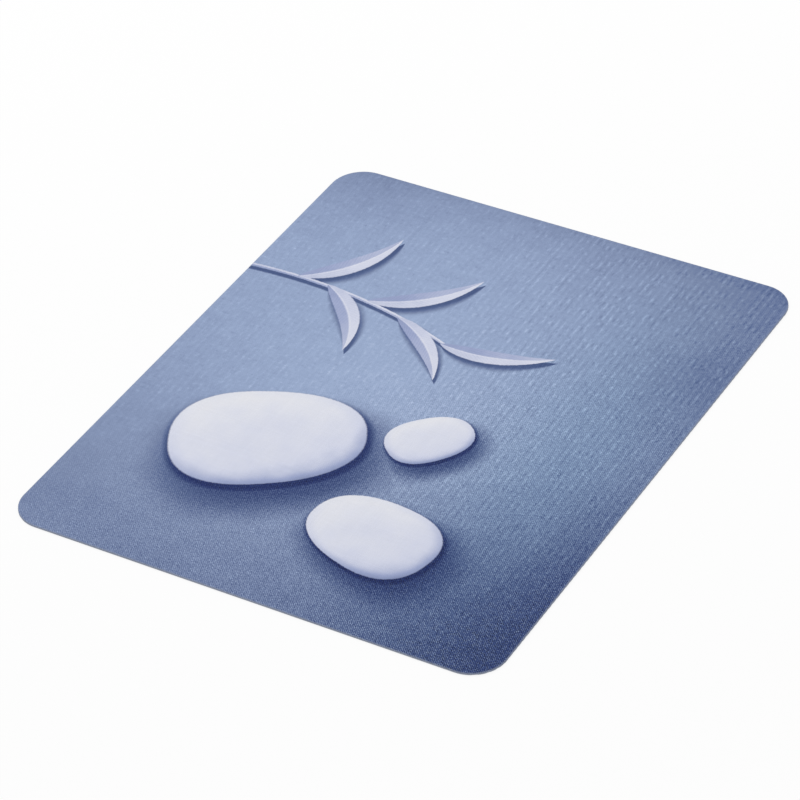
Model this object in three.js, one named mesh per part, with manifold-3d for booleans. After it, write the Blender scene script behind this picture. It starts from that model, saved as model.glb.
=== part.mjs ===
// Mouse pad: a printed cloth face bonded to a ribbed rubber sheet, laid flat and cut to one outline.
// Millimetres. X runs along the front edge, Y from the user towards the back and Z up.
// The origin is at the middle of the underside.

import * as THREE from 'three';
import { mergeVertices } from 'three/addons/utils/BufferGeometryUtils.js';
import Module from 'manifold-3d';

const wasm = await Module();
wasm.setup();

// Outline of the cut, shared by every layer
const PAD_WIDTH = 190.5;
const PAD_DEPTH = 235;
const CORNER_RADIUS = 12.7;
const CORNER_FACETS = 16;

// Layers, from the desk up
const RUBBER_THICKNESS = 0.45;
const FILM_THICKNESS = 0.07;
const CLOTH_THICKNESS = 0.28;

// The cutting die presses the cloth's upper edge over in a small round
const CLOTH_EDGE_ROUND = 0.16;
const CLOTH_EDGE_STEPS = 3;

// Grip relief: straight ribs across the underside, with shallow grooves between them
const GRIP_PITCH = 3;
const GRIP_GROOVE_WIDTH = 1;
const GRIP_GROOVE_DEPTH = 0.12;

// How far a cutting shape runs past the face that it opens
const CUT_OVERRUN = 1;

// A drawn curve is split into twice as many facets as the segments asked for
const CORNER_SEGMENTS = CORNER_FACETS / 2;

const FILM_BOTTOM = RUBBER_THICKNESS;
const CLOTH_BOTTOM = FILM_BOTTOM + FILM_THICKNESS;

/** The pad's outline drawn in by an inset: a rectangle with round corners, centred on the origin. */
function padOutline(inset) {
  const right = PAD_WIDTH / 2 - inset;
  const back = PAD_DEPTH / 2 - inset;
  const radius = CORNER_RADIUS - inset;
  const quarter = Math.PI / 2;
  const shape = new THREE.Shape();
  shape.absarc(right - radius, back - radius, radius, 0, quarter);
  shape.absarc(radius - right, back - radius, radius, quarter, 2 * quarter);
  shape.absarc(radius - right, radius - back, radius, 2 * quarter, 3 * quarter);
  shape.absarc(right - radius, radius - back, radius, 3 * quarter, 4 * quarter);
  shape.closePath();
  return shape;
}

/** A closed geometry as a solid that can be cut. */
function toSolid(geometry) {
  geometry.deleteAttribute('normal');
  geometry.deleteAttribute('uv');
  const merged = mergeVertices(geometry);
  return new wasm.Manifold(new wasm.Mesh({
    numProp: 3,
    vertProperties: new Float32Array(merged.attributes.position.array),
    triVerts: new Uint32Array(merged.index.array),
  }));
}

/** A solid as a geometry that a mesh can show. */
function toGeometry(solid) {
  const mesh = solid.getMesh();
  const geometry = new THREE.BufferGeometry();
  geometry.setAttribute('position', new THREE.BufferAttribute(mesh.vertProperties, 3));
  geometry.setIndex(new THREE.BufferAttribute(mesh.triVerts, 1));
  geometry.computeVertexNormals();
  return geometry;
}

/** A flat layer of the laminate, from its own zero up to its thickness. */
function layerGeometry(thickness) {
  return new THREE.ExtrudeGeometry(padOutline(0), {
    depth: thickness,
    bevelEnabled: false,
    curveSegments: CORNER_SEGMENTS,
  });
}

/** The rubber sheet: a flat layer with straight grooves cut across its underside, a rib at the middle. */
function rubberGeometry() {
  const groove = new THREE.BoxGeometry(
    PAD_WIDTH + 2 * CUT_OVERRUN,
    GRIP_GROOVE_WIDTH,
    GRIP_GROOVE_DEPTH + CUT_OVERRUN,
  );
  groove.translate(0, 0, (GRIP_GROOVE_DEPTH - CUT_OVERRUN) / 2);
  const cutter = toSolid(groove);
  const groovesPerHalf = Math.floor((PAD_DEPTH - GRIP_GROOVE_WIDTH) / 2 / GRIP_PITCH);
  let sheet = toSolid(layerGeometry(RUBBER_THICKNESS));
  for (let number = 0; number < groovesPerHalf; number += 1) {
    const reach = (number + 0.5) * GRIP_PITCH;
    sheet = sheet.subtract(cutter.translate(0, reach, 0));
    sheet = sheet.subtract(cutter.translate(0, -reach, 0));
  }
  return toGeometry(sheet);
}

/** The cloth: a layer with its upper edge rolled over. The matching lower round is trimmed away. */
function clothGeometry() {
  const round = Math.min(CLOTH_EDGE_ROUND, CLOTH_THICKNESS);
  const rolled = new THREE.ExtrudeGeometry(padOutline(round), {
    depth: CLOTH_THICKNESS,
    bevelThickness: round,
    bevelSize: round,
    bevelSegments: CLOTH_EDGE_STEPS,
    curveSegments: CORNER_SEGMENTS,
  });
  rolled.translate(0, 0, -round);
  const below = new THREE.BoxGeometry(
    PAD_WIDTH + 2 * CUT_OVERRUN,
    PAD_DEPTH + 2 * CUT_OVERRUN,
    2 * round + CUT_OVERRUN,
  );
  below.translate(0, 0, -(2 * round + CUT_OVERRUN) / 2);
  return toGeometry(toSolid(rolled).subtract(toSolid(below)));
}

/** One named layer of the pad, lifted to its place. */
function layer(name, geometry, bottom, finish) {
  const mesh = new THREE.Mesh(geometry, new THREE.MeshStandardMaterial(finish));
  mesh.name = name;
  mesh.position.z = bottom;
  return mesh;
}

const RUBBER_FINISH = { color: 0x787a80, roughness: 0.85, metalness: 0 };
const FILM_FINISH = { color: 0xb9bcc4, roughness: 0.5, metalness: 0 };
const CLOTH_FINISH = { color: 0x8592b4, roughness: 0.95, metalness: 0 };

const mousePad = new THREE.Group();
mousePad.name = 'mouse_pad';
mousePad.add(layer('rubber_backing', rubberGeometry(), 0, RUBBER_FINISH));
mousePad.add(layer('bonding_film', layerGeometry(FILM_THICKNESS), FILM_BOTTOM, FILM_FINISH));
mousePad.add(layer('printed_cloth', clothGeometry(), CLOTH_BOTTOM, CLOTH_FINISH));

export default mousePad;
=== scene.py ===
"""Looks of a thin cloth-faced mouse pad, built over the solids of its packed layers.

Lengths are metres in the pad's own frame: X along the front edge, Y towards the back and Z up, with the
origin at the middle of the underside. Printed and dyed colours are given as the eye sees them, 0 to 255.
"""

import logging
import math
from collections.abc import Callable
from dataclasses import dataclass
from enum import Enum
from functools import cache, cached_property, partialmethod

import bpy
import numpy as np
from mathutils import Matrix, Vector


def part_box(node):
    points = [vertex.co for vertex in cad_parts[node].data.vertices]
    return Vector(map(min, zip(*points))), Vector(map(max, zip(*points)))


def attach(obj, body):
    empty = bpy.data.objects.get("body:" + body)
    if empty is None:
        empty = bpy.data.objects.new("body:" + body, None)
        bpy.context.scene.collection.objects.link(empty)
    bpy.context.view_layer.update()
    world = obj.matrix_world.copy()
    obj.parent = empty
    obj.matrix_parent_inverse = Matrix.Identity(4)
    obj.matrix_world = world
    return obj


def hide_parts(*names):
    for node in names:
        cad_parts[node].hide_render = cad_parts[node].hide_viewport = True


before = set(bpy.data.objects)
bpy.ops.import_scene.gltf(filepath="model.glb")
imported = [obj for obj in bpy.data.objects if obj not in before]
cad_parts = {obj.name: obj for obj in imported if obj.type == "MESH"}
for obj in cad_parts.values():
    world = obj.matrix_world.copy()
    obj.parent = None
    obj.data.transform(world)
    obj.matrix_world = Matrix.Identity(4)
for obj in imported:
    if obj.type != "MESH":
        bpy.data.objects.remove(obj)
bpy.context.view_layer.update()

MM = 0.001
HAIR = 0.001 * MM
TURN = 2.0 * math.pi
ORIGIN = (0.0, 0.0, 0.0)
WHITE = (1.0, 1.0, 1.0, 1.0)
LOG = logging.getLogger("mouse_pad")

# Sums on vectors that give a number
MEASURES = ("LENGTH", "DOT_PRODUCT")

# Numbers of a mix node's sockets for colours, because several of its sockets share one name
MIX_SHARE, MIX_UNDER, MIX_OVER, MIX_RESULT = 0, 6, 7, 2

Array = np.ndarray
Material = bpy.types.Material
Point = tuple[float, float]
Step = tuple[float, float, float, float]
Dye = tuple[int, int, int]
Ramp = tuple[tuple[float, Dye], ...]


class Layer(Enum):
    """The pad's layers, by the names of their solids and of their material slots."""

    CLOTH = "printed_cloth"
    FILM = "bonding_film"
    RUBBER = "rubber_backing"


class Kind(Enum):
    """Kinds of socket that the node groups use."""

    VALUE = "NodeSocketFloat"
    VECTOR = "NodeSocketVector"


def dyed(colour: Dye) -> tuple[float, float, float, float]:
    """A colour as the eye sees it, turned into light.

    Args:
        colour: red, green and blue, 0 to 255.

    Returns:
        The linear colour with a full alpha.
    """
    seen = np.array(colour) / 255.0
    light = np.where(seen <= 0.04045, seen / 12.92, ((seen + 0.055) / 1.055) ** 2.4)
    return (float(light[0]), float(light[1]), float(light[2]), 1.0)


def metres(*lengths: float) -> tuple[float, ...]:
    """Millimetres as metres."""
    return tuple(length * MM for length in lengths)


@dataclass(frozen=True)
class Flow:
    """A number, vector or colour that a node puts out. Sums written on it add nodes to its graph."""

    graph: "Graph"
    socket: bpy.types.NodeSocket

    def math(self, operation: str, *others: "Feed") -> "Flow":
        """One sum that starts with this, for vectors if it is one and for numbers if not.

        Args:
            operation: the sum's name.
            others: its other values.

        Returns:
            The result.
        """
        feeds = dict(enumerate((self, *others)))
        if self.socket.type == "VALUE":
            return self.graph.flow("ShaderNodeMath", feeds, operation=operation)
        out = "Value" if operation in MEASURES else "Vector"
        return self.graph.flow("ShaderNodeVectorMath", feeds, out, operation=operation)

    # Sums as they are written, and the greater and the lesser of two numbers
    __add__ = partialmethod(math, "ADD")
    __sub__ = partialmethod(math, "SUBTRACT")
    __mul__ = partialmethod(math, "MULTIPLY")
    __truediv__ = partialmethod(math, "DIVIDE")
    __pow__ = partialmethod(math, "POWER")
    __neg__ = partialmethod(math, "MULTIPLY", -1.0)
    __abs__ = partialmethod(math, "ABSOLUTE")
    at_least = partialmethod(math, "MAXIMUM")
    at_most = partialmethod(math, "MINIMUM")

    def clamped(self) -> "Flow":
        """This number held between 0 and 1."""
        return self.graph.flow("ShaderNodeClamp", {"Value": self})

    def ease(self, start: "Feed", end: "Feed", low: "Feed" = 0.0, high: "Feed" = 1.0) -> "Flow":
        """A smooth step that follows this number.

        Args:
            start: where the step begins.
            end: where it ends.
            low: what comes out at the start and before it.
            high: what comes out at the end and after it.

        Returns:
            The eased number.
        """
        feeds = {"Value": self, "From Min": start, "From Max": end, "To Min": low, "To Max": high}
        return self.graph.flow("ShaderNodeMapRange", feeds, interpolation_type="SMOOTHSTEP")

    def blend(self, under: "Feed", over: "Feed") -> "Flow":
        """One colour laid over another by this share from 0 to 1."""
        feeds = {MIX_SHARE: self, MIX_UNDER: under, MIX_OVER: over}
        return self.graph.flow("ShaderNodeMix", feeds, MIX_RESULT, data_type="RGBA")

    def ramp(self, stops: Ramp) -> "Flow":
        """The colour at this place on a ramp of dyes.

        Args:
            stops: places on the ramp with their dyes, in order.

        Returns:
            The colour.
        """
        node = self.graph.add("ShaderNodeValToRGB", {"Fac": self})
        elements = node.color_ramp.elements
        while len(elements) < len(stops):
            elements.new(1.0)
        for element, (place, colour) in zip(elements, stops):
            element.position = place
            element.color = dyed(colour)
        return Flow(self.graph, node.outputs["Color"])

    def bump(self, strength: float, distance: float) -> "Flow":
        """The normal of a surface that this height raises."""
        feeds = {"Strength": strength, "Distance": distance, "Height": self}
        return self.graph.flow("ShaderNodeBump", feeds)

    def split(self) -> list["Flow"]:
        """The three parts of this vector."""
        return list(self.graph.flows("ShaderNodeSeparateXYZ", {0: self}).values())

    def joined(self, y: "Feed", z: "Feed" = 0.0) -> "Flow":
        """A vector with this number as its X."""
        return self.graph.flow("ShaderNodeCombineXYZ", {0: self, 1: y, 2: z})

    def flat(self) -> "Flow":
        """This place pressed down to a height of 0."""
        return self * (1.0, 1.0, 0.0)

    def turned(self, centre: "Feed", angle: "Feed") -> "Flow":
        """This place turned about an upright axis through a centre."""
        feeds = {"Vector": self, "Center": centre, "Angle": angle}
        return self.graph.flow("ShaderNodeVectorRotate", feeds, rotation_type="Z_AXIS")

    def noise(self, cells: "Feed", detail: float, out: str | int = 0) -> "Flow":
        """Soft noise from 0 to 1 at this place, with so many cells to the metre."""
        feeds = {"Vector": self, "Scale": cells, "Detail": detail}
        return self.graph.flow("ShaderNodeTexNoise", feeds, out, noise_dimensions="3D")

    def stray(self, cells: float, detail: float, reach: "Feed") -> "Flow":
        """A vector that strays softly about zero, by up to half a reach each way."""
        return (self.noise(cells, detail, "Color") - (0.5, 0.5, 0.5)) * reach

    def dice(self) -> "Flow":
        """A throw of dice for this place, evenly from 0 to 1."""
        return self.graph.flow("ShaderNodeTexWhiteNoise", {"Vector": self}, noise_dimensions="3D")


Feed = Flow | float | tuple[float, ...]
Feeds = dict[str | int, Feed]
Flows = dict[str, Flow]
Names = tuple[str, ...]
Fill = Callable[[Flows], Flows]
Group = Callable[[], bpy.types.NodeTree]


class Graph:
    """A shader tree that nodes are added to."""

    def __init__(self, tree: bpy.types.NodeTree) -> None:
        """Starts on a tree."""
        self.tree = tree

    @classmethod
    def cleared(cls, owner: Material | bpy.types.World) -> "Graph":
        """Starts on the emptied tree of a material or a world.

        Args:
            owner: what the tree belongs to.

        Returns:
            The graph.
        """
        owner.use_nodes = True
        owner.node_tree.nodes.clear()
        return cls(owner.node_tree)

    def feed(self, socket: bpy.types.NodeSocket, value: Feed) -> None:
        """Feeds a socket.

        Args:
            socket: the input to feed.
            value: what it is linked to, or its own value. One number fills all parts of a vector.
        """
        if isinstance(value, Flow):
            self.tree.links.new(value.socket, socket)
        elif socket.type == "VECTOR" and not isinstance(value, tuple):
            socket.default_value = (value,) * 3
        else:
            socket.default_value = value

    def add(self, kind: str, feeds: Feeds | None = None, **options: object) -> bpy.types.Node:
        """Adds a node.

        Args:
            kind: the node's type.
            feeds: what goes into its inputs, by their names or numbers.
            options: the node's own settings.

        Returns:
            The node.
        """
        node = self.tree.nodes.new(kind)
        for name, value in options.items():
            setattr(node, name, value)
        for key, value in (feeds or {}).items():
            self.feed(node.inputs[key], value)
        return node

    def flow(self, kind: str, feeds: Feeds | None = None, out: str | int = 0, **options: object) -> Flow:
        """Adds a node and gives one of its outputs."""
        return Flow(self, self.add(kind, feeds, **options).outputs[out])

    def flows(self, kind: str, feeds: Feeds | None = None, **options: object) -> Flows:
        """Adds a node and gives its outputs by their names."""
        return {socket.name: Flow(self, socket) for socket in self.add(kind, feeds, **options).outputs}

    def use(self, group: Group, feeds: Feeds) -> Flows:
        """Places a node group and gives its outputs."""
        return self.flows("ShaderNodeGroup", feeds, node_tree=group())

    def place(self) -> Flow:
        """A point's place in the pad's frame."""
        return self.flow("ShaderNodeTexCoord", out="Object")

    def surface(self, feeds: Feeds) -> None:
        """Ends a material with its shader, fed as told."""
        self.add("ShaderNodeOutputMaterial", {"Surface": self.flow("ShaderNodeBsdfPrincipled", feeds)})


def new_material(name: str) -> tuple[Material, Graph]:
    """Starts a material with an empty graph."""
    material = bpy.data.materials.new(name)
    return material, Graph.cleared(material)


def node_group(name: str, vectors: Names, values: Names, gives: Names) -> Callable[[Fill], Group]:
    """Makes a function that fills a node group into one that builds the group once.

    Args:
        name: the group's name.
        vectors: its inputs that are vectors.
        values: its inputs that are numbers.
        gives: its outputs, all numbers.

    Returns:
        The decorator.
    """
    sides = (("INPUT", Kind.VECTOR, vectors), ("INPUT", Kind.VALUE, values), ("OUTPUT", Kind.VALUE, gives))

    def decorate(fill: Fill) -> Group:
        """Makes the builder.

        Args:
            fill: what is handed the group's inputs, adds its nodes and returns its outputs.

        Returns:
            The builder.
        """

        @cache
        def build() -> bpy.types.NodeTree:
            """Builds the group.

            Returns:
                Its tree.
            """
            tree = bpy.data.node_groups.new(name, "ShaderNodeTree")
            for way, kind, labels in sides:
                for label in labels:
                    tree.interface.new_socket(label, in_out=way, socket_type=kind.value)
            graph = Graph(tree)
            graph.add("NodeGroupOutput", fill(graph.flows("NodeGroupInput")))
            return tree

        return build

    return decorate


@node_group("cut edge inset", ("Position", "Corner Centre"), ("Corner Radius",), ("Inset",))
def cut_edge(given: Flows) -> Flows:
    """How far a point lies inside the cut outline, as the inset from a rectangle with round corners.

    Past the corner's centre on both axes the inset is the radius less the distance from that centre.
    Elsewhere it is the smaller of the distances from the two straight sides.

    Args:
        given: the group's inputs.

    Returns:
        Its outputs.
    """
    past = abs(given["Position"].flat()) - given["Corner Centre"]
    outside = past.at_least(ORIGIN).math("LENGTH")
    past_x, past_y, _ = past.split()
    inside = past_x.at_least(past_y).at_most(0.0)
    return {"Inset": given["Corner Radius"] - (outside + inside)}


@node_group("fine grain", ("Position",), ("Grains per Metre",), ("Tone", "Height"))
def fine_grain(given: Flows) -> Flows:
    """Irregular grain: its tone is two sizes of soft noise added, about zero, and its height the finer one.

    Args:
        given: the group's inputs.

    Returns:
        Its outputs.
    """
    coarse_share, detail = 0.23, 1.0
    fine = given["Position"].noise(given["Grains per Metre"], detail)
    coarse = given["Position"].noise(given["Grains per Metre"] * coarse_share, detail)
    return {"Tone": fine + coarse - 1.0, "Height": fine}


@node_group(
    "plain weave",
    ("Position",),
    ("Threads per Metre", "Wander"),
    ("Height", "Thread Tone", "Fibre", "Fleck"),
)
def plain_weave(given: Flows) -> Flows:
    """Plain weave of threads of one pitch along X and Y.

    At each crossing the warp or the weft lies on top, by the evenness of the crossing's number. The height
    is the round of the thread on top, the root of a cosine across it, times its arch, a cosine along it.
    The fleck is 1 where the warp is on top and -1 where the weft is, plus a throw of dice for each
    crossing, times the height. Its step between warp and weft is painted shade of threads that face the
    light differently, and its dice are random tone. The fibre is soft noise drawn out along the thread on
    top.

    Args:
        given: the group's inputs.

    Returns:
        Its outputs.
    """
    wander_cells, wander_detail = 740.0, 2.0
    arch_rise = 0.65
    fibre_across, fibre_along, fibre_cells = 5.0, 0.8, (1.0, 1.0)
    warp_seed, weft_seed = (0.0, 0.37, 0.0), (0.73, 0.0, 1.0)
    throw_step = (0.25, 0.75, -0.5, 0.5)
    wander = given["Position"].stray(wander_cells, wander_detail, given["Wander"])
    place = (given["Position"] * given["Threads per Metre"] + wander).flat()
    cell = place.math("FLOOR")
    own_x, own_y, _ = (place - cell - (0.5, 0.5, 0.0)).split()
    warp_number, weft_number, _ = cell.split()
    warp_on_top = (warp_number + weft_number).math("PINGPONG", 1.0)

    def of_top(warp: Flow, weft: Flow) -> Flow:
        """The warp's number where the warp is on top, and the weft's elsewhere."""
        return (warp - weft) * warp_on_top + weft

    def cosine(turns: Flow) -> Flow:
        """The cosine of half a turn times a number, not less than 0."""
        return (turns * math.pi).math("COSINE").at_least(0.0)

    arch = cosine(of_top(own_y, own_x)) * arch_rise + (1.0 - arch_rise)
    height = cosine(of_top(own_x, own_y)).math("SQRT") * arch
    warp_throw = (cell * (1.0, 0.0, 0.0) + warp_seed).dice()
    weft_throw = (cell * (0.0, 1.0, 0.0) + weft_seed).dice()
    warp_fibre = (place * (fibre_across, fibre_along, 0.0)).noise(*fibre_cells)
    weft_fibre = (place * (fibre_along, fibre_across, 0.0)).noise(*fibre_cells)
    # Painted shade: warp crossings lighter and weft crossings darker, as threads that face the light
    # differently; the dice add random tone
    fleck = cell.dice().ease(*throw_step) + warp_on_top * 2.0 - 1.0
    return {
        "Height": height,
        "Thread Tone": of_top(warp_throw, weft_throw) * 2.0 - 1.0,
        "Fibre": of_top(warp_fibre, weft_fibre) * 2.0 - 1.0,
        "Fleck": fleck * height,
    }


PRINTED = ("Mask", "Light", "Shadow")


def pebble_reach(given: Flows, share: float) -> tuple[Flow, Flow, Flow]:
    """How far a place is from the middle of a pebble that is moved by a share of its throw.

    The place is turned into the pebble's own directions and divided by its half sizes. The width swells
    towards one end. The reach is the root of the sum of the two parts, each raised to one power above 2.

    Args:
        given: the place, and the pebble's shape and throw.
        share: the share.

    Returns:
        The reach, which is 1 on the outline, and its two parts.
    """
    power = 2.35
    place = given["Position"] - given["Throw"] * share
    own = place.turned(given["Centre"], -given["Turn"]) - given["Centre"]
    along, across, _ = (own / given["Half Size"]).split()
    swollen = across * (along * given["Egg"] + 1.0)
    return (abs(along) ** power + abs(swollen) ** power) ** (1.0 / power), along, swollen


@node_group("printed pebble", ("Position", "Centre", "Half Size", "Throw"), ("Turn", "Egg"), PRINTED)
def printed_pebble(given: Flows) -> Flows:
    """A pebble drawn in print: where it lies, how its round takes the light, and the shadow that it throws.

    The light is a middle tone, plus how far the round leans away from the shadow, less a turn of tone at the
    outline. The shadow is the pebble's own outline moved by the throw, soft when far and tight at the foot.

    Args:
        given: the group's inputs.

    Returns:
        Its outputs.
    """
    middle_light, lean_light, lean_power = 0.70, -0.30, 1.4
    rim_step = (0.80, 1.02, 0.0, 0.16)
    outline_step = (1.012, 0.988)
    foot_share, foot_step = 0.30, (1.16, 0.96, 0.0, 0.86)
    far_step = (1.50, 0.70, 0.0, 0.62)
    reach, along, across = pebble_reach(given, 0.0)
    far, foot = (pebble_reach(given, share)[0] for share in (1.0, foot_share))
    lean = along.joined(across).turned(ORIGIN, given["Turn"])
    away = lean.math("DOT_PRODUCT", given["Throw"].math("NORMALIZE"))
    light = away * reach**lean_power * lean_light + middle_light - reach.ease(*rim_step)
    shadow = far.ease(*far_step).at_least(foot.ease(*foot_step))
    return {"Mask": reach.ease(*outline_step), "Light": light.clamped(), "Shadow": shadow}


def leaf_reach(given: Flows, share: float) -> tuple[Flow, Flow]:
    """How far a place is from the spine of a leaf or stem that is moved by a share of its throw.

    The spine is an arc of a circle. The distance from it is divided by a half width that swells and falls
    along the arc as a sine raised to a power, low for a stem and near 1 for a leaf.

    Args:
        given: the place, and the leaf's shape and throw.
        share: the share.

    Returns:
        The reach to either side, which is 1 or -1 on the outline, and the way along, from 0 to 1.
    """
    widest_power = 0.78
    own = given["Position"] - given["Throw"] * share - given["Arc Centre"]
    x, y, _ = own.turned(ORIGIN, -given["Middle Angle"]).split()
    along = (y.math("ARCTAN2", x) / given["Half Sweep"] * 0.5 + 0.5).clamped()
    swell = (along**widest_power * math.pi).math("SINE").at_least(0.0)
    width = given["Half Width"] * swell ** given["Taper"]
    return (own.math("LENGTH") - given["Arc Radius"]) / width.at_least(HAIR), along


@node_group(
    "printed leaf",
    ("Position", "Arc Centre", "Throw"),
    ("Arc Radius", "Middle Angle", "Half Sweep", "Half Width", "Taper"),
    PRINTED,
)
def printed_leaf(given: Flows) -> Flows:
    """A leaf or stem drawn in print: where it lies, how its fold takes the light, and its soft shadow.

    The light is a step from the shaded half to the lit one, plus a paler rib along the spine and a paler
    tip, plus veins that are a sine of the way along less the way out from the spine.

    Args:
        given: the group's inputs.

    Returns:
        Its outputs.
    """
    outline_step = (1.06, 0.92)
    fold_step = (-0.10, 0.10, 0.36, 0.56)
    rib_step = (0.16, 0.02, 0.0, 0.14)
    tip_light, base_loss = 0.16, 0.06
    vein_count, vein_slant, vein_light = 26, 0.10, 0.018
    shadow_step = (1.7, 0.6, 0.0, 0.55)
    side, along = leaf_reach(given, 0.0)
    reach, cast = abs(side), abs(leaf_reach(given, 1.0)[0])
    veins = ((along - reach * vein_slant) * (vein_count * TURN)).math("SINE") * vein_light
    tip = along * tip_light - base_loss
    light = side.ease(*fold_step) + reach.ease(*rib_step) + (tip + veins)
    return {"Mask": reach.ease(*outline_step), "Light": light, "Shadow": cast.ease(*shadow_step)}


@dataclass(frozen=True)
class CutOutline:
    """The rectangle with round corners that the die cuts through every layer."""

    half_width: float
    half_depth: float
    corner_radius: float
    corner_steps: int = 18
    least_step: float = 0.02 * MM

    @classmethod
    def of_solid(cls, layer: Layer) -> "CutOutline":
        """Reads the outline from a layer's solid.

        The corner's radius is how far the straight part of the right side stops short of the back.

        Args:
            layer: the layer to read.

        Returns:
            The outline.
        """
        _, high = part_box(layer.value)
        points = np.array([vertex.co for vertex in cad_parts[layer.value].data.vertices])
        side_end = points[points[:, 0] > high.x - HAIR, 1].max()
        return cls(high.x, high.y, high.y - float(side_end))

    @property
    def corner_centre(self) -> Point:
        """The middle of the round of the back right corner."""
        return self.half_width - self.corner_radius, self.half_depth - self.corner_radius

    @property
    def area(self) -> float:
        """The rectangle's area less what the four round corners leave out."""
        return 4.0 * self.half_width * self.half_depth - (4.0 - math.pi) * self.corner_radius**2

    def inset(self, place: Flow) -> Flow:
        """How far a place lies inside the outline.

        Args:
            place: where on the pad.

        Returns:
            The inset.
        """
        feeds = {
            "Position": place,
            "Corner Centre": (*self.corner_centre, 0.0),
            "Corner Radius": self.corner_radius,
        }
        return place.graph.use(cut_edge, feeds)["Inset"]

    def outward(self, rim: Array) -> Array:
        """Outward directions at points of the rim: away from the rectangle between the corners' centres."""
        past = rim - np.clip(rim, np.negative(self.corner_centre), self.corner_centre)
        return past / np.linalg.norm(past, axis=-1, keepdims=True)

    def row_half_width(self, rows: Array, inset: float) -> Array:
        """The half width of the outline at each row: the corner centre's X plus the radius times a cosine.

        Args:
            rows: the rows' Y.
            inset: how far the outline is drawn in.

        Returns:
            The half widths.
        """
        radius = self.corner_radius - inset
        sine = np.clip((np.abs(rows) - self.corner_centre[1]) / radius, 0.0, 1.0)
        return self.corner_centre[0] + radius * np.sqrt(1.0 - sine**2)

    def rows(self, inset: float, step: float) -> Array:
        """The places of the rows of a grid: even along the depth, and by even angles round the corners.

        A row that comes too soon after the one before it is left out, but the last row stays.

        Args:
            inset: how far the outline is drawn in.
            step: the longest step between rows.

        Returns:
            The rows' Y, from the front to the back.
        """
        radius = self.corner_radius - inset
        straight = self.corner_centre[1]
        arc = straight + radius * np.sin(np.linspace(0.0, math.pi / 2.0, self.corner_steps + 1))
        count = math.ceil(2.0 * (straight + radius) / step)
        even = np.linspace(-straight - radius, straight + radius, count + 1)
        rows = np.unique(np.concatenate([-arc, even, arc]))
        apart = np.concatenate([[True], np.diff(rows) > self.least_step])
        apart[-2:] = [False, True] if not apart[-1] else [apart[-2], True]
        return rows[apart]


@dataclass(frozen=True)
class Ring:
    """A loop carried round a layer's edge.

    Attributes:
        inset: how far it runs inside the cut outline.
        height: its Z, or its rise from the face's rim where it follows that.
        follows: whether it follows the rim's own ups and downs.
        stray: how far the knife strays to either side.
    """

    inset: float
    height: float
    follows: bool = False
    stray: float = 0.0


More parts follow.
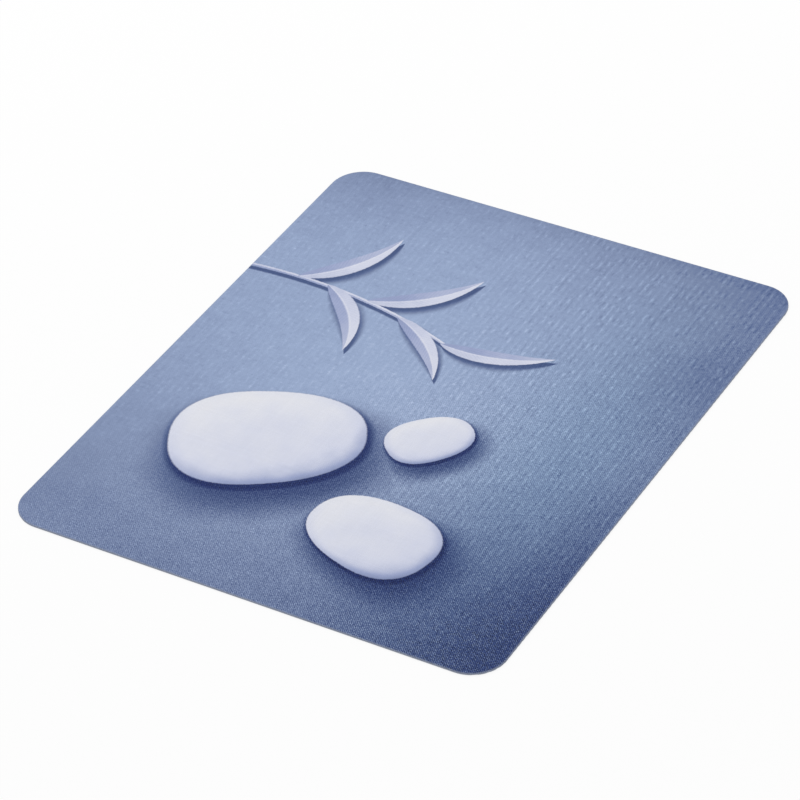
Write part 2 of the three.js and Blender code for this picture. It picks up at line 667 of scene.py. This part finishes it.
@dataclass(frozen=True)
class Slab:
    """A closed sheet: a worked face on a grid, an edge carried round it, and a plain back.

    The face is z = face(x, y), with x = u times the half width of the row at y. Each loop of the edge is the
    face's rim moved along its outward normals. The back closes the last loop with one strip between every
    two rows.
    """

    outline: CutOutline
    column_step: float
    row_step: float
    face: Callable[[Array, Array], Array]
    rings: list[Ring]
    faces_up: bool = True
    stray_waves: tuple[Point, ...] = ((83, 0.0), (191, 1.0), (317, 2.0))
    sharp_angle: float = math.radians(38.0)

    @cached_property
    def columns(self) -> Array:
        """The grid's columns, as even shares of the half width."""
        return np.linspace(-1.0, 1.0, math.ceil(2.0 * self.outline.half_width / self.column_step) + 1)

    @cached_property
    def rows(self) -> Array:
        """The grid's rows, from the front to the back."""
        return self.outline.rows(self.rings[0].inset, self.row_step)

    def _points(self, rim: Array) -> Array:
        """Works out the points. The knife strays by the mean of a few sines of the way round the rim.

        Args:
            rim: the numbers of the face's points round its rim.

        Returns:
            The face's points, row by row, and then each further loop's points.
        """
        inset = self.rings[0].inset
        half = self.outline.row_half_width(self.rows, inset)
        x = self.columns[None, :] * half[:, None]
        y = np.repeat(self.rows[:, None], self.columns.size, axis=1)
        face = np.stack([x, y, self.face(x, y)], axis=-1).reshape(-1, 3)
        base = face[rim]
        normals = self.outline.outward(base[:, :2])
        steps = np.linalg.norm(np.roll(base, -1, axis=0) - base, axis=1)
        round_it = TURN * np.cumsum(steps) / steps.sum()
        waves = np.mean([np.sin(count * round_it + phase) for count, phase in self.stray_waves], axis=0)
        loops = [face]
        for ring in self.rings[1:]:
            out = inset - ring.inset + ring.stray * waves
            height = ring.height + ring.follows * base[:, 2]
            loops.append(np.column_stack([base[:, :2] + normals * out[:, None], height]))
        return np.concatenate(loops)

    def _back(self, loop: Array) -> list[list[int]]:
        """Closes the last loop with strips, of which the two end ones take in a whole row.

        Args:
            loop: the numbers of the loop's points.

        Returns:
            The strips' corners, as seen from below.
        """
        wide, deep = self.columns.size, self.rows.size
        right = loop[wide - 1 : wide - 1 + deep]
        left = np.concatenate([loop[:1], loop[: -(deep - 1) : -1]])
        strips = np.stack([left[1:-1], left[2:], right[2:-1], right[1:-2]], axis=-1)
        first = [*loop[:1], left[1], right[1], *loop[wide - 1 : 0 : -1]]
        last_row = loop[wide + deep - 2 : 2 * wide + deep - 2]
        last = [*last_row[::-1], right[-2], left[-1]]
        return [*strips.tolist(), [int(i) for i in first], [int(i) for i in last]]

    def mesh(self, name: str) -> bpy.types.Mesh:
        """Makes the closed mesh.

        Args:
            name: the mesh's name.

        Returns:
            The mesh, smooth where it bends gently and sharp at its folds.
        """
        index = np.arange(self.rows.size * self.columns.size).reshape(self.rows.size, self.columns.size)
        rim = np.concatenate([index[0], index[1:, -1], index[-1, -2::-1], index[-2:0:-1, 0]])
        loops = [rim] + [index.size + rim.size * k + np.arange(rim.size) for k in range(len(self.rings) - 1)]
        corners = [index[:-1, :-1], index[:-1, 1:], index[1:, 1:], index[1:, :-1]]
        quads = [np.stack(corners, axis=-1).reshape(-1, 4)]
        for upper, lower in zip(loops[:-1], loops[1:]):
            quads.append(np.stack([lower, np.roll(lower, -1), np.roll(upper, -1), upper], axis=-1))
        faces = np.concatenate(quads).tolist() + self._back(loops[-1])
        if not self.faces_up:
            faces = [face[::-1] for face in faces]
        mesh = bpy.data.meshes.new(name)
        mesh.from_pydata(self._points(rim).tolist(), [], faces)
        mesh.shade_smooth()
        mesh.set_sharp_from_angle(angle=self.sharp_angle)
        return mesh


@dataclass(frozen=True)
class Pool:
    """A soft pool of light or shade in the print, in millimetres, with its own reach on each axis."""

    centre: Point
    reach: Point
    tone: float

    def amount(self, place: Flow) -> Flow:
        """The tone times e to the power of minus the squared distance, counted in reaches."""
        far = (place - metres(*self.centre, 0.0)) / (*metres(*self.reach), 1.0)
        return (-far.math("DOT_PRODUCT", far)).math("EXPONENT") * self.tone


@dataclass(frozen=True)
class Fall:
    """Tone lost in the print towards one edge: a square law from a line on, in millimetres."""

    towards: Point
    start: float
    length: float
    tone: float

    def amount(self, place: Flow) -> Flow:
        """Minus the tone times the square of the way past the line, counted in lengths."""
        past = place.math("DOT_PRODUCT", (*self.towards, 0.0)) - self.start * MM
        return (past.at_least(0.0) / (self.length * MM)) ** 2.0 * -self.tone


@dataclass(frozen=True)
class Pebble:
    """A printed pebble, in millimetres: its place, half sizes, turn, swelling and throw of shadow."""

    centre: Point
    half_size: Point
    turn: float
    egg: float
    throw: Point

    def draw(self, place: Flow) -> Flows:
        """Places the pebble's node group, with its turn in degrees made radians.

        Args:
            place: where on the pad.

        Returns:
            Its mask, light and shadow.
        """
        feeds = {
            "Position": place,
            "Centre": metres(*self.centre, 0.0),
            "Half Size": (*metres(*self.half_size), 1.0),
            "Turn": math.radians(self.turn),
            "Egg": self.egg,
            "Throw": metres(*self.throw, 0.0),
        }
        return place.graph.use(printed_pebble, feeds)


@dataclass(frozen=True)
class Leaf:
    """A printed leaf or stem, in millimetres: its spine's ends and bow to the left, and its half width."""

    start: Point
    end: Point
    bow: float
    half_width: float
    taper: float = 0.9
    throw: Point = (1.7, -1.9)

    def draw(self, place: Flow) -> Flows:
        """Places the leaf's node group.

        The circle through the ends with that bow has the radius (half chord squared plus bow squared) over
        twice the bow, and its centre lies on the chord's middle line.

        Args:
            place: where on the pad.

        Returns:
            Its mask, light and shadow.
        """
        start, end = np.array(self.start), np.array(self.end)
        chord = end - start
        length = float(np.hypot(*chord))
        left = np.array([-chord[1], chord[0]]) / length
        radius = (length**2 / 4.0 + self.bow**2) / (2.0 * self.bow)
        centre = (start + end) / 2.0 + left * (self.bow - radius)
        out = left * math.copysign(1.0, self.bow)
        feeds = {
            "Position": place,
            "Arc Centre": metres(*centre.tolist(), 0.0),
            "Arc Radius": abs(radius) * MM,
            "Middle Angle": math.atan2(out[1], out[0]),
            "Half Sweep": -math.copysign(math.asin(min(1.0, length / 2.0 / abs(radius))), self.bow),
            "Half Width": self.half_width * MM,
            "Taper": self.taper,
            "Throw": metres(*self.throw, 0.0),
        }
        return place.graph.use(printed_leaf, feeds)


@dataclass(frozen=True)
class PrintedClothFinish:
    """Woven cloth with a picture dyed into it: pale pebbles and a leafy twig on a shaded blue ground.

    Cells are a soft noise's count to the metre and its detail. A step is where an ease starts and ends, and
    what it gives there.
    """

    # Ground: its dyes, slope, light, shade and mottle
    ground: Ramp = (
        (0.05, (2, 8, 42)),
        (0.20, (20, 40, 101)),
        (0.38, (71, 89, 132)),
        (0.47, (97, 114, 155)),
        (0.55, (121, 136, 170)),
        (0.62, (137, 153, 187)),
        (0.70, (156, 174, 207)),
        (0.85, (198, 213, 240)),
    )
    base_tone: float = 128.4 / 255
    tone_per_x: float = -17 / 255 / (95 * MM)
    tone_per_y: float = 21.5 / 255 / (117 * MM)
    shading: tuple[Pool | Fall, ...] = (
        Pool((8, -64), (109, 156), 61 / 255),
        Pool((80, -84), (160, 55), -29 / 255),
        Pool((-92, 112), (38, 32), -14 / 255),
        Pool((-88, -118), (26, 15), 10 / 255),
        Pool((84, 60), (16, 15), -8 / 255),
        Pool((82, 2), (17, 17), 7 / 255),
        Pool((92, 14), (9, 38), 5 / 255),
        Pool((74, -42), (15, 26), 5 / 255),
        Fall((0.0, 1.0), 70, 47, 13 / 255),
        Fall((0.0, 1.0), 106, 11, 6 / 255),
        Fall((1.0, 0.0), 40, 55, 10 / 255),
        Fall((0.0, -1.0), 60, 57, 10 / 255),
    )
    cool_pool: Pool = Pool((67, -20), (33, 106), 0.095)
    mottle_cells: tuple[Point, Point] = ((75.0, 3.0), (230.0, 2.0))
    mottle_tone: float = 13.0 / 255

    # Ribs along Y, and slubs along both threads
    rib_pitch: float = 2.7 * MM
    rib_tone: Point = (2.0 / 255, 6.6 / 255)
    rib_from: Point = (-35 * MM, 45 * MM)
    rib_fade: Step = (-105 * MM, -25 * MM, 0.45, 1.0)
    sway_cells: tuple[Point, Point] = ((160.0, 2.0), (430.0, 1.0))
    sway_turn: Point = (2.5, 1.5)
    slub_tone: Point = (66 / 255, 54 / 255)
    slub_cells: Point = (860.0, 1.0)
    slub_stretch: float = 0.48
    bead_step: Step = (0.36, 0.64, -0.2, 2.1)
    patch_cells: Point = (170.0, 1.0)
    patch_step: Step = (0.36, 0.64, 0.4, 1.5)

    # Drawing
    pebble_ramp: Ramp = (
        (0.10, (108, 120, 162)),
        (0.35, (156, 167, 203)),
        (0.60, (211, 215, 233)),
        (0.80, (225, 227, 237)),
        (1.00, (234, 234, 237)),
    )
    cloud_cells: Point = (110.0, 5.0)
    cloud_tone: float = 0.20
    shadow_tone: float = 0.13
    pebbles: tuple[Pebble, ...] = (
        Pebble((-36, -40), (35, 26), 28.0, 0.10, (8, -8)),
        Pebble((24, -70), (25, 18), -12.0, -0.12, (6, -6)),
        Pebble((16, -16), (16, 12), 48.0, 0.08, (4.5, -4.5)),
    )
    leaves: tuple[Leaf, ...] = (
        Leaf((-110, 44), (-6, 34), 7, 0.9, 0.12),
        Leaf((-76, 47), (-52, 84), -5, 4.2),
        Leaf((-63, 47), (-38, 15), 5, 4.2),
        Leaf((-45, 45), (-12, 74), -5, 4.2),
        Leaf((-30, 41), (0, 14), 4, 3.8),
        Leaf((-8, 34), (34, 44), -4, 3.8),
    )
    bleed_cells: Point = (1500.0, 1.0)
    dye_bleed: float = 0.45 * MM

    # Weave
    threads_per_metre: float = 2200.0
    thread_wander: float = 1.5
    thread_contrast: float = 0.02
    fibre_contrast: float = 0.10
    # Painted shade: how much the gaps between the threads' crowns are darkened and the crowns lightened
    gap_shade: float = 0.20
    crown_mean: float = 0.583
    grains_per_metre: float = 3800.0

    # Flecks, partly painted shade of warp and weft, which grow towards the front right corner, and soft
    # specks
    fleck_towards: Point = (0.7071, -0.7071)
    fleck_step: Step = (-30 * MM, 40 * MM, 0.010, 0.090)
    front_step: Step = (20 * MM, 110 * MM, 0.0, 0.035)
    corner_step: Step = (80 * MM, 150 * MM, 0.0, 0.12)
    fleck_limit: float = 0.6
    fleck_gain: float = 1.5
    clump_cells: Point = (300.0, 2.0)
    clump_step: Step = (0.30, 0.70, 0.85, 1.15)
    speck_cells: Point = (1400.0, 0.0)
    speck_share: float = 2.2
    speck_limit: float = 0.17
    speck_loss: float = 0.9
    pale_fleck: float = 0.012

    # Cut edge and surface
    edge_dye: Dye = (148, 156, 175)
    edge_step: Step = (0.5 * MM, 0.0, 0.0, 0.6)
    edge_fray: float = 0.3 * MM
    weave_bump: Point = (0.6, 0.03 * MM)
    roughness: Point = (0.12, 0.82)
    specular: float = 0.15
    sheen: Point = (0.06, 0.55)

    def _ground_tone(self, place: Flow) -> Flow:
        """The tone of the plain ground: a slope, pools of light and shade, a soft mottle, ribs and slubs.

        A rib is a sine across X whose turn strays, broken into beads that show in patches. Slubs are noise
        drawn out along the threads both ways, squared with its sign kept, so that they are few and plain.

        Args:
            place: where on the cloth.

        Returns:
            The tone.
        """
        x, y, _ = place.split()
        tone = x * self.tone_per_x + self.base_tone + y * self.tone_per_y
        for shade in self.shading:
            tone = tone + shade.amount(place)
        slow, quick = (place.noise(*cells) * turn for cells, turn in zip(self.sway_cells, self.sway_turn))
        wave = (x * (TURN / self.rib_pitch) + (slow + quick)).math("SINE")
        along_y = (place * (1.0, self.slub_stretch, 1.0)).noise(*self.slub_cells)
        along_x = (place * (self.slub_stretch, 1.0, 1.0)).noise(*self.slub_cells)
        beads = along_y.ease(*self.bead_step) * place.noise(*self.patch_cells).ease(*self.patch_step)
        slubs = along_x + along_y - 1.0
        ribs = wave * beads * x.ease(*self.rib_from, *self.rib_tone)
        ribs = ribs + slubs * abs(slubs) * x.ease(*self.rib_from, *self.slub_tone)
        large, small = (place.noise(*cells) for cells in self.mottle_cells)
        return tone + (large + small - 1.0) * self.mottle_tone + ribs * y.ease(*self.rib_fade)

    def _flecked(self, place: Flow, shadow: Flow, fleck: Flow) -> Flow:
        """The shadowed tone of the ground, moved by the threads' flecks and their painted shade of warp and
        weft.

        The flecks grow towards the front right corner, come in clumps, and are no larger than a share of
        the tone. To the eye their light outweighs their dark, so the tone is lowered by a gain times the
        square of their size. Soft specks grow with them up to a limit, and fade in the corner.

        Args:
            place: where on the cloth.
            shadow: the drawing's shadow there.
            fleck: what the weave gives there, its flecks with their painted shade of warp and weft.

        Returns:
            The tone.
        """
        tone = self._ground_tone(place)
        dark = (-tone + self.shadow_tone) * shadow + tone
        way = place.math("DOT_PRODUCT", (*self.fleck_towards, 0.0))
        corner = way.ease(*self.corner_step)
        size = way.ease(*self.fleck_step) + way.ease(*self.front_step) + corner
        size = size * place.noise(*self.clump_cells).ease(*self.clump_step)
        size = size.at_most(dark * self.fleck_limit)
        strength = (size * self.speck_share).at_most(self.speck_limit) - corner * self.speck_loss
        specks = (place.noise(*self.speck_cells) - 0.5) * strength
        return dark + (fleck - size * self.fleck_gain) * size + specks

    def _picture(self, place: Flow, fleck: Flow) -> Flow:
        """The dyed picture: the ground with all its shadows, and then the leaves and the pebbles.

        Shadows and flecks move the tone before it is looked up on the dyes. The drawing's outlines bleed a
        little from thread to thread.

        Args:
            place: where on the cloth.
            fleck: what the weave gives there, its flecks with their painted shade of warp and weft.

        Returns:
            The colour.
        """
        drawing = (place + place.stray(*self.bleed_cells, self.dye_bleed)).flat()
        drawn = [item.draw(drawing) for item in (*self.leaves, *self.pebbles)]
        shadow = drawn[0]["Shadow"]
        for parts in drawn[1:]:
            shadow = shadow.at_least(parts["Shadow"])
        red = -self.cool_pool.amount(place) + 1.0
        colour = self._flecked(place, shadow, fleck).ramp(self.ground) * red.joined(1.0, 1.0)
        cloud = (place.noise(*self.cloud_cells) - 0.5) * self.cloud_tone + fleck * self.pale_fleck
        for parts in drawn:
            colour = parts["Mask"].blend(colour, (parts["Light"] + cloud).ramp(self.pebble_ramp))
        return colour

    def material(self, outline: CutOutline) -> Material:
        """Makes the cloth's material.

        Args:
            outline: the pad's outline, along which undyed fibres show.

        Returns:
            The material.
        """
        material, graph = new_material("printed cloth")
        place = graph.place()
        flat = place.flat()
        weave = graph.use(
            plain_weave,
            {"Position": flat, "Threads per Metre": self.threads_per_metre, "Wander": self.thread_wander},
        )
        grain = graph.use(fine_grain, {"Position": place, "Grains per Metre": self.grains_per_metre})
        tone = (weave["Thread Tone"] + grain["Tone"]) * self.thread_contrast + 1.0
        tone = tone + weave["Fibre"] * self.fibre_contrast
        # Painted shade: darker in the gaps between the threads' crowns and lighter on them, about their mean
        # height
        tone = tone + (weave["Height"] - self.crown_mean) * self.gap_shade
        colour = self._picture(flat, weave["Fleck"]) * tone
        frayed = outline.inset(place) + grain["Tone"] * self.edge_fray
        graph.surface(
            {
                "Base Color": frayed.ease(*self.edge_step).blend(colour, dyed(self.edge_dye)),
                "Roughness": grain["Height"] * self.roughness[0] + self.roughness[1],
                "Normal": weave["Height"].bump(*self.weave_bump),
                "Specular IOR Level": self.specular,
                "Sheen Weight": self.sheen[0],
                "Sheen Roughness": self.sheen[1],
            }
        )
        return material


@dataclass(frozen=True)
class BondingFilmFinish:
    """Milky hot-melt film, seen only as a line in the cut edge."""

    dye: Dye = (176, 179, 188)
    dark_dye: Dye = (140, 143, 154)
    grains_per_metre: float = 2500.0
    grain_step: Point = (-0.35, 0.35)
    grain_bump: Point = (0.4, 0.01 * MM)
    roughness: Point = (0.2, 0.4)

    def material(self) -> Material:
        """Makes the film's material.

        Returns:
            The material.
        """
        material, graph = new_material("bonding film")
        grain = graph.use(fine_grain, {"Position": graph.place(), "Grains per Metre": self.grains_per_metre})
        pale = grain["Tone"].ease(*self.grain_step)
        graph.surface(
            {
                "Base Color": pale.blend(dyed(self.dark_dye), dyed(self.dye)),
                "Roughness": grain["Height"] * self.roughness[0] + self.roughness[1],
                "Normal": grain["Height"].bump(*self.grain_bump),
            }
        )
        return material


@dataclass(frozen=True)
class RubberFinish:
    """Grey grip rubber: fine pitted grain, ribs rubbed a little paler, and darker deep in the grooves.

    The steps of the crests and of the darker grooves are counted in groove depths.
    """

    dye: Dye = (114, 118, 128)
    pit_dye: Dye = (84, 88, 98)
    crest_dye: Dye = (130, 134, 143)
    groove_dye: Dye = (98, 101, 109)
    cut_dye: Dye = (156, 163, 180)
    grains_per_metre: float = 2900.0
    grain_bump: Point = (0.7, 0.025 * MM)
    pit_step: Point = (0.42, 0.26)
    patch_cells: Point = (130.0, 4.0)
    patch_step: Point = (0.40, 0.66)
    crest_step: Step = (0.3, 0.0, 0.0, 0.4)
    groove_dark_step: Step = (0.4, 1.0, 0.0, 0.6)
    groove_dark_inset: float = 0.2 * MM
    rub_stray: float = 0.4 * MM
    rub_step: Step = (0.8 * MM, 0.0, 0.0, 0.5)
    cut_step: Step = (0.1 * MM, 0.03 * MM, 0.0, 0.85)
    roughness: Point = (-0.12, 0.82)
    specular: float = 0.35

    def material(self, outline: CutOutline, groove_depth: float) -> Material:
        """Makes the rubber's material.

        Args:
            outline: the pad's outline, along which the cut is rubbed paler.
            groove_depth: how deep the grip grooves are.

        Returns:
            The material.
        """
        material, graph = new_material("grip rubber")
        place = graph.place()
        depth = place.split()[2] / groove_depth
        inset = outline.inset(place)
        grain = graph.use(fine_grain, {"Position": place, "Grains per Metre": self.grains_per_metre})
        patch = place.noise(*self.patch_cells)
        rubbed = inset + grain["Tone"] * self.rub_stray
        coats = (
            (grain["Height"].ease(*self.pit_step), self.pit_dye),
            (patch.ease(*self.patch_step) * depth.ease(*self.crest_step), self.crest_dye),
            # Darker deep in the grooves, fading out towards the cut edge
            (depth.ease(*self.groove_dark_step) * inset.ease(0.0, self.groove_dark_inset), self.groove_dye),
            (rubbed.ease(*self.rub_step), self.crest_dye),
            (inset.ease(*self.cut_step), self.cut_dye),
        )
        colour: Feed = dyed(self.dye)
        for share, coat in coats:
            colour = share.blend(colour, dyed(coat))
        graph.surface(
            {
                "Base Color": colour,
                "Roughness": patch * self.roughness[0] + self.roughness[1],
                "Normal": grain["Height"].bump(*self.grain_bump),
                "Specular IOR Level": self.specular,
            }
        )
        return material


def fitted(name: str, slab: Slab, layer: Layer, material: Material) -> bpy.types.Object:
    """Puts a piece in the scene in place of a layer's solid.

    Args:
        name: the piece's name.
        slab: its shape, in the pad's frame.
        layer: the layer whose solid, slot and body it takes.
        material: its material.

    Returns:
        The piece.
    """
    mesh = slab.mesh(name)
    mesh.materials.append(material)
    piece = bpy.data.objects.new(name, mesh)
    bpy.context.scene.collection.objects.link(piece)
    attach(piece, "root")
    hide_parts(layer.value)
    LOG.info("%s: %d points, %d faces", name, len(mesh.vertices), len(mesh.polygons))
    return piece


@dataclass(frozen=True)
class PrintedCloth:
    """The cloth face: fine ribs and a slight cockle on top, and an edge pressed over by the die."""

    outline: CutOutline
    finish: PrintedClothFinish = PrintedClothFinish()
    edge_round: float = 0.16 * MM
    edge_steps: int = 5
    edge_stray: float = 0.025 * MM
    column_step: float = 0.45 * MM
    row_step: float = 1.7 * MM
    rib_rise: float = 0.006 * MM
    cockle_rise: float = 0.012 * MM
    cockle_length: float = 17 * MM
    cockle_waves: tuple[tuple[float, float, float], ...] = ((1.0, 0.3, 0.0), (-0.2, 0.8, 1.0))
    rim_fade: float = 3.0 * MM

    def _relief(self, x: Array, y: Array) -> Array:
        """Rise of the face: a cosine rib across X plus a cockle, a product of sines, faded at the rim.

        Args:
            x: places along the front.
            y: places towards the back.

        Returns:
            The rise at each place.
        """
        wave = TURN / self.cockle_length
        first, second = (np.sin(wave * (a * x + b * y) + phase) for a, b, phase in self.cockle_waves)
        rib = np.cos(TURN * x / self.finish.rib_pitch)
        inset = np.minimum(self.outline.half_width - np.abs(x), self.outline.half_depth - np.abs(y))
        fade = np.clip(inset / self.rim_fade, 0.0, 1.0)
        return fade * (self.rib_rise * rib + self.cockle_rise * first * second)

    def build(self, rests_on: bpy.types.Object) -> bpy.types.Object:
        """Makes the cloth.

        Args:
            rests_on: the piece that it is bonded to; not used.

        Returns:
            The cloth.
        """
        low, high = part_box(Layer.CLOTH.value)
        rings = [Ring(self.edge_round, high.z)]
        for angle in np.linspace(0.0, math.pi / 2.0, self.edge_steps + 1)[1:]:
            inset = self.edge_round * (1.0 - math.sin(angle))
            drop = self.edge_round * (1.0 - math.cos(angle))
            rings.append(Ring(inset, high.z - drop, stray=self.edge_stray * math.sin(angle)))
        rings.append(Ring(0.0, low.z, stray=self.edge_stray))
        slab = Slab(
            self.outline, self.column_step, self.row_step, lambda x, y: high.z + self._relief(x, y), rings
        )
        cloth = fitted("cloth_face", slab, Layer.CLOTH, self.finish.material(self.outline))
        return cloth


@dataclass(frozen=True)
class BondingFilm:
    """The film between cloth and rubber: its edge is squeezed into a slightly uneven line."""

    outline: CutOutline
    finish: BondingFilmFinish = BondingFilmFinish()
    edge_inset: float = 0.03 * MM
    edge_stray: float = 0.03 * MM
    step: float = 1.5 * MM

    def build(self) -> bpy.types.Object:
        """Makes the film: two flat faces with a middle loop that bulges out between them.

        Returns:
            The film.
        """
        low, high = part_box(Layer.FILM.value)
        rings = [
            Ring(self.edge_inset, high.z),
            Ring(0.0, (low.z + high.z) / 2.0, stray=self.edge_stray),
            Ring(self.edge_inset, low.z),
        ]
        slab = Slab(self.outline, self.step, self.step, lambda x, y: np.full_like(x, high.z), rings)
        return fitted("glue_film", slab, Layer.FILM, self.finish.material())


@dataclass(frozen=True)
class RubberBacking:
    """The rubber sheet: grip ribs with soft shoulders across its underside, and a square-cut edge."""

    outline: CutOutline
    finish: RubberFinish = RubberFinish()
    rib_pitch: float = 3 * MM
    groove_width: float = 1 * MM
    groove_depth: float = 0.12 * MM
    shoulder: float = 0.3 * MM
    steps_per_rib: int = 14
    column_step: float = 4 * MM
    edge_inset: float = 0.04 * MM
    edge_rise: float = 0.05 * MM
    edge_stray: float = 0.02 * MM

    def _underside(self, x: Array, y: Array) -> Array:
        """Height of the underside: a smooth step up from the ribs into each groove, a rib at the middle.

        Args:
            x: places along the front, which the ribs run along.
            y: places towards the back.

        Returns:
            The height at each place.
        """
        from_groove = np.abs(np.mod(y, self.rib_pitch) - self.rib_pitch / 2.0)
        share = (self.groove_width / 2.0 + self.shoulder / 2.0 - from_groove) / self.shoulder
        share = np.clip(share, 0.0, 1.0)
        last_groove = self.outline.half_depth - self.groove_width
        inside = (np.abs(y) < last_groove).astype(float)
        return self.groove_depth * inside * share * share * (3.0 - 2.0 * share)

    def build(self) -> bpy.types.Object:
        """Makes the rubber: its worked face is the underside, and its plain back is under the film.

        Returns:
            The rubber.
        """
        _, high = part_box(Layer.RUBBER.value)
        rings = [
            Ring(self.edge_inset, 0.0),
            Ring(0.0, self.edge_rise, follows=True, stray=self.edge_stray),
            Ring(0.0, high.z, stray=self.edge_stray),
        ]
        row_step = self.rib_pitch / self.steps_per_rib
        slab = Slab(self.outline, self.column_step, row_step, self._underside, rings, faces_up=False)
        material = self.finish.material(self.outline, self.groove_depth)
        return fitted("rubber_sheet", slab, Layer.RUBBER, material)


@dataclass(frozen=True)
class PhotoCamera:
    """The camera: where it stands about the pad, how it is rolled, its lens and the point it looks at."""

    azimuth: float = 32.110
    elevation: float = 37.850
    roll: float = 3.588
    distance: float = 1390.39 * MM
    lens: float = 176.66
    sensor: float = 36.0
    aim: tuple[float, float, float] = (-4.617 * MM, -1.135 * MM, 0.8 * MM)

    def build(self) -> bpy.types.Object:
        """Makes the camera.

        It stands off from the aim along its own axis, which is turned from straight down by the angles.

        Returns:
            The camera.
        """
        angles = ((self.azimuth, "Z"), (90.0 - self.elevation, "X"), (-self.roll, "Z"))
        stand = Matrix.Translation(self.aim)
        for angle, axis in angles:
            stand = stand @ Matrix.Rotation(math.radians(angle), 4, axis)
        data = bpy.data.cameras.new("photo_camera")
        data.lens = self.lens
        data.sensor_width = self.sensor
        camera = bpy.data.objects.new("photo_camera", data)
        camera.matrix_world = stand @ Matrix.Translation((0.0, 0.0, self.distance))
        bpy.context.scene.collection.objects.link(camera)
        bpy.context.scene.camera = camera
        LOG.info("camera at %s", camera.matrix_world.translation)
        return camera


def seen_by_camera(rays: Flows) -> Flow:
    """1 on the rays by which the camera sees: straight, in gloss or through glass."""
    return rays["Is Camera Ray"].at_least(rays["Is Glossy Ray"]).at_least(rays["Is Transmission Ray"])


@dataclass(frozen=True)
class Studio:
    """A plain pale floor under soft even light, with one large lamp behind to the left."""

    floor_half: float = 4.0
    floor_drop: float = 0.02 * MM
    floor_white: float = 0.95
    floor_lift: float = 0.85
    under_reach: float = 2.0 * MM
    even_light: float = 0.74
    lamp_power: float = 10.0
    lamp_size: float = 1.1
    lamp_place: tuple[float, float, float] = (-0.9, 0.8, 1.25)

    def floor(self) -> bpy.types.Object:
        """Makes the floor: a square that is seen only from above, and that lets the light under the pad.

        Returns:
            The floor.
        """
        edge = self.floor_half
        corners = [(-edge, -edge), (edge, -edge), (edge, edge), (-edge, edge)]
        mesh = bpy.data.meshes.new("floor")
        mesh.from_pydata([(x, y, -self.floor_drop) for x, y in corners], [], [(0, 1, 2, 3)])
        floor = bpy.data.objects.new("floor", mesh)
        bpy.context.scene.collection.objects.link(floor)
        mesh.materials.append(self._floor_material())
        return floor

    def _floor_material(self) -> Material:
        """White paper: a part of what the camera sees is its own white, so that shadows stay but soften.

        Returns:
            The material.
        """
        material, graph = new_material("white paper")
        rays = graph.flows("ShaderNodeLightPath")
        paper = graph.flow("ShaderNodeBsdfDiffuse", {"Color": (self.floor_white,) * 3 + (1.0,)})
        glow = graph.flow("ShaderNodeEmission", {"Color": WHITE, "Strength": 1.0})
        clear = graph.flow("ShaderNodeBsdfTransparent")
        lift = seen_by_camera(rays) * self.floor_lift
        shown = graph.flow("ShaderNodeMixShader", {0: lift, 1: paper, 2: glow})
        under = rays["Is Diffuse Ray"] * rays["Ray Length"].math("LESS_THAN", self.under_reach)
        below = graph.flow("ShaderNodeNewGeometry", out="Backfacing")
        open_to = under.at_least(below).at_least(rays["Is Shadow Ray"])
        floor = graph.flow("ShaderNodeMixShader", {0: open_to, 1: shown, 2: clear})
        graph.add("ShaderNodeOutputMaterial", {"Surface": floor})
        return material

    def lights(self) -> None:
        """Lights the pad: an even white all round, and one large soft lamp."""
        world = bpy.data.worlds.new("even light")
        bpy.context.scene.world = world
        graph = Graph.cleared(world)
        seen = seen_by_camera(graph.flows("ShaderNodeLightPath"))
        strength = seen * (1.0 - self.even_light) + self.even_light
        sky = graph.flow("ShaderNodeBackground", {"Color": WHITE, "Strength": strength})
        graph.add("ShaderNodeOutputWorld", {"Surface": sky})
        data = bpy.data.lights.new("soft_lamp", "AREA")
        data.energy = self.lamp_power
        data.size = self.lamp_size
        lamp = bpy.data.objects.new("soft_lamp", data)
        lamp.location = self.lamp_place
        lamp.rotation_euler = Vector(self.lamp_place).to_track_quat("Z", "Y").to_euler()
        bpy.context.scene.collection.objects.link(lamp)


def main() -> None:
    """Builds the camera, the studio and the pad's layers from the desk up."""
    logging.basicConfig(level=logging.INFO, format="%(name)s: %(message)s", force=True)
    bpy.context.scene.view_settings.view_transform = "Standard"
    PhotoCamera().build()
    studio = Studio()
    studio.floor()
    studio.lights()
    outline = CutOutline.of_solid(Layer.RUBBER)
    LOG.info("outline: %s", outline)
    RubberBacking(outline).build()
    film = BondingFilm(outline).build()
    PrintedCloth(outline).build(film)


if __name__ == "__main__":
    main()
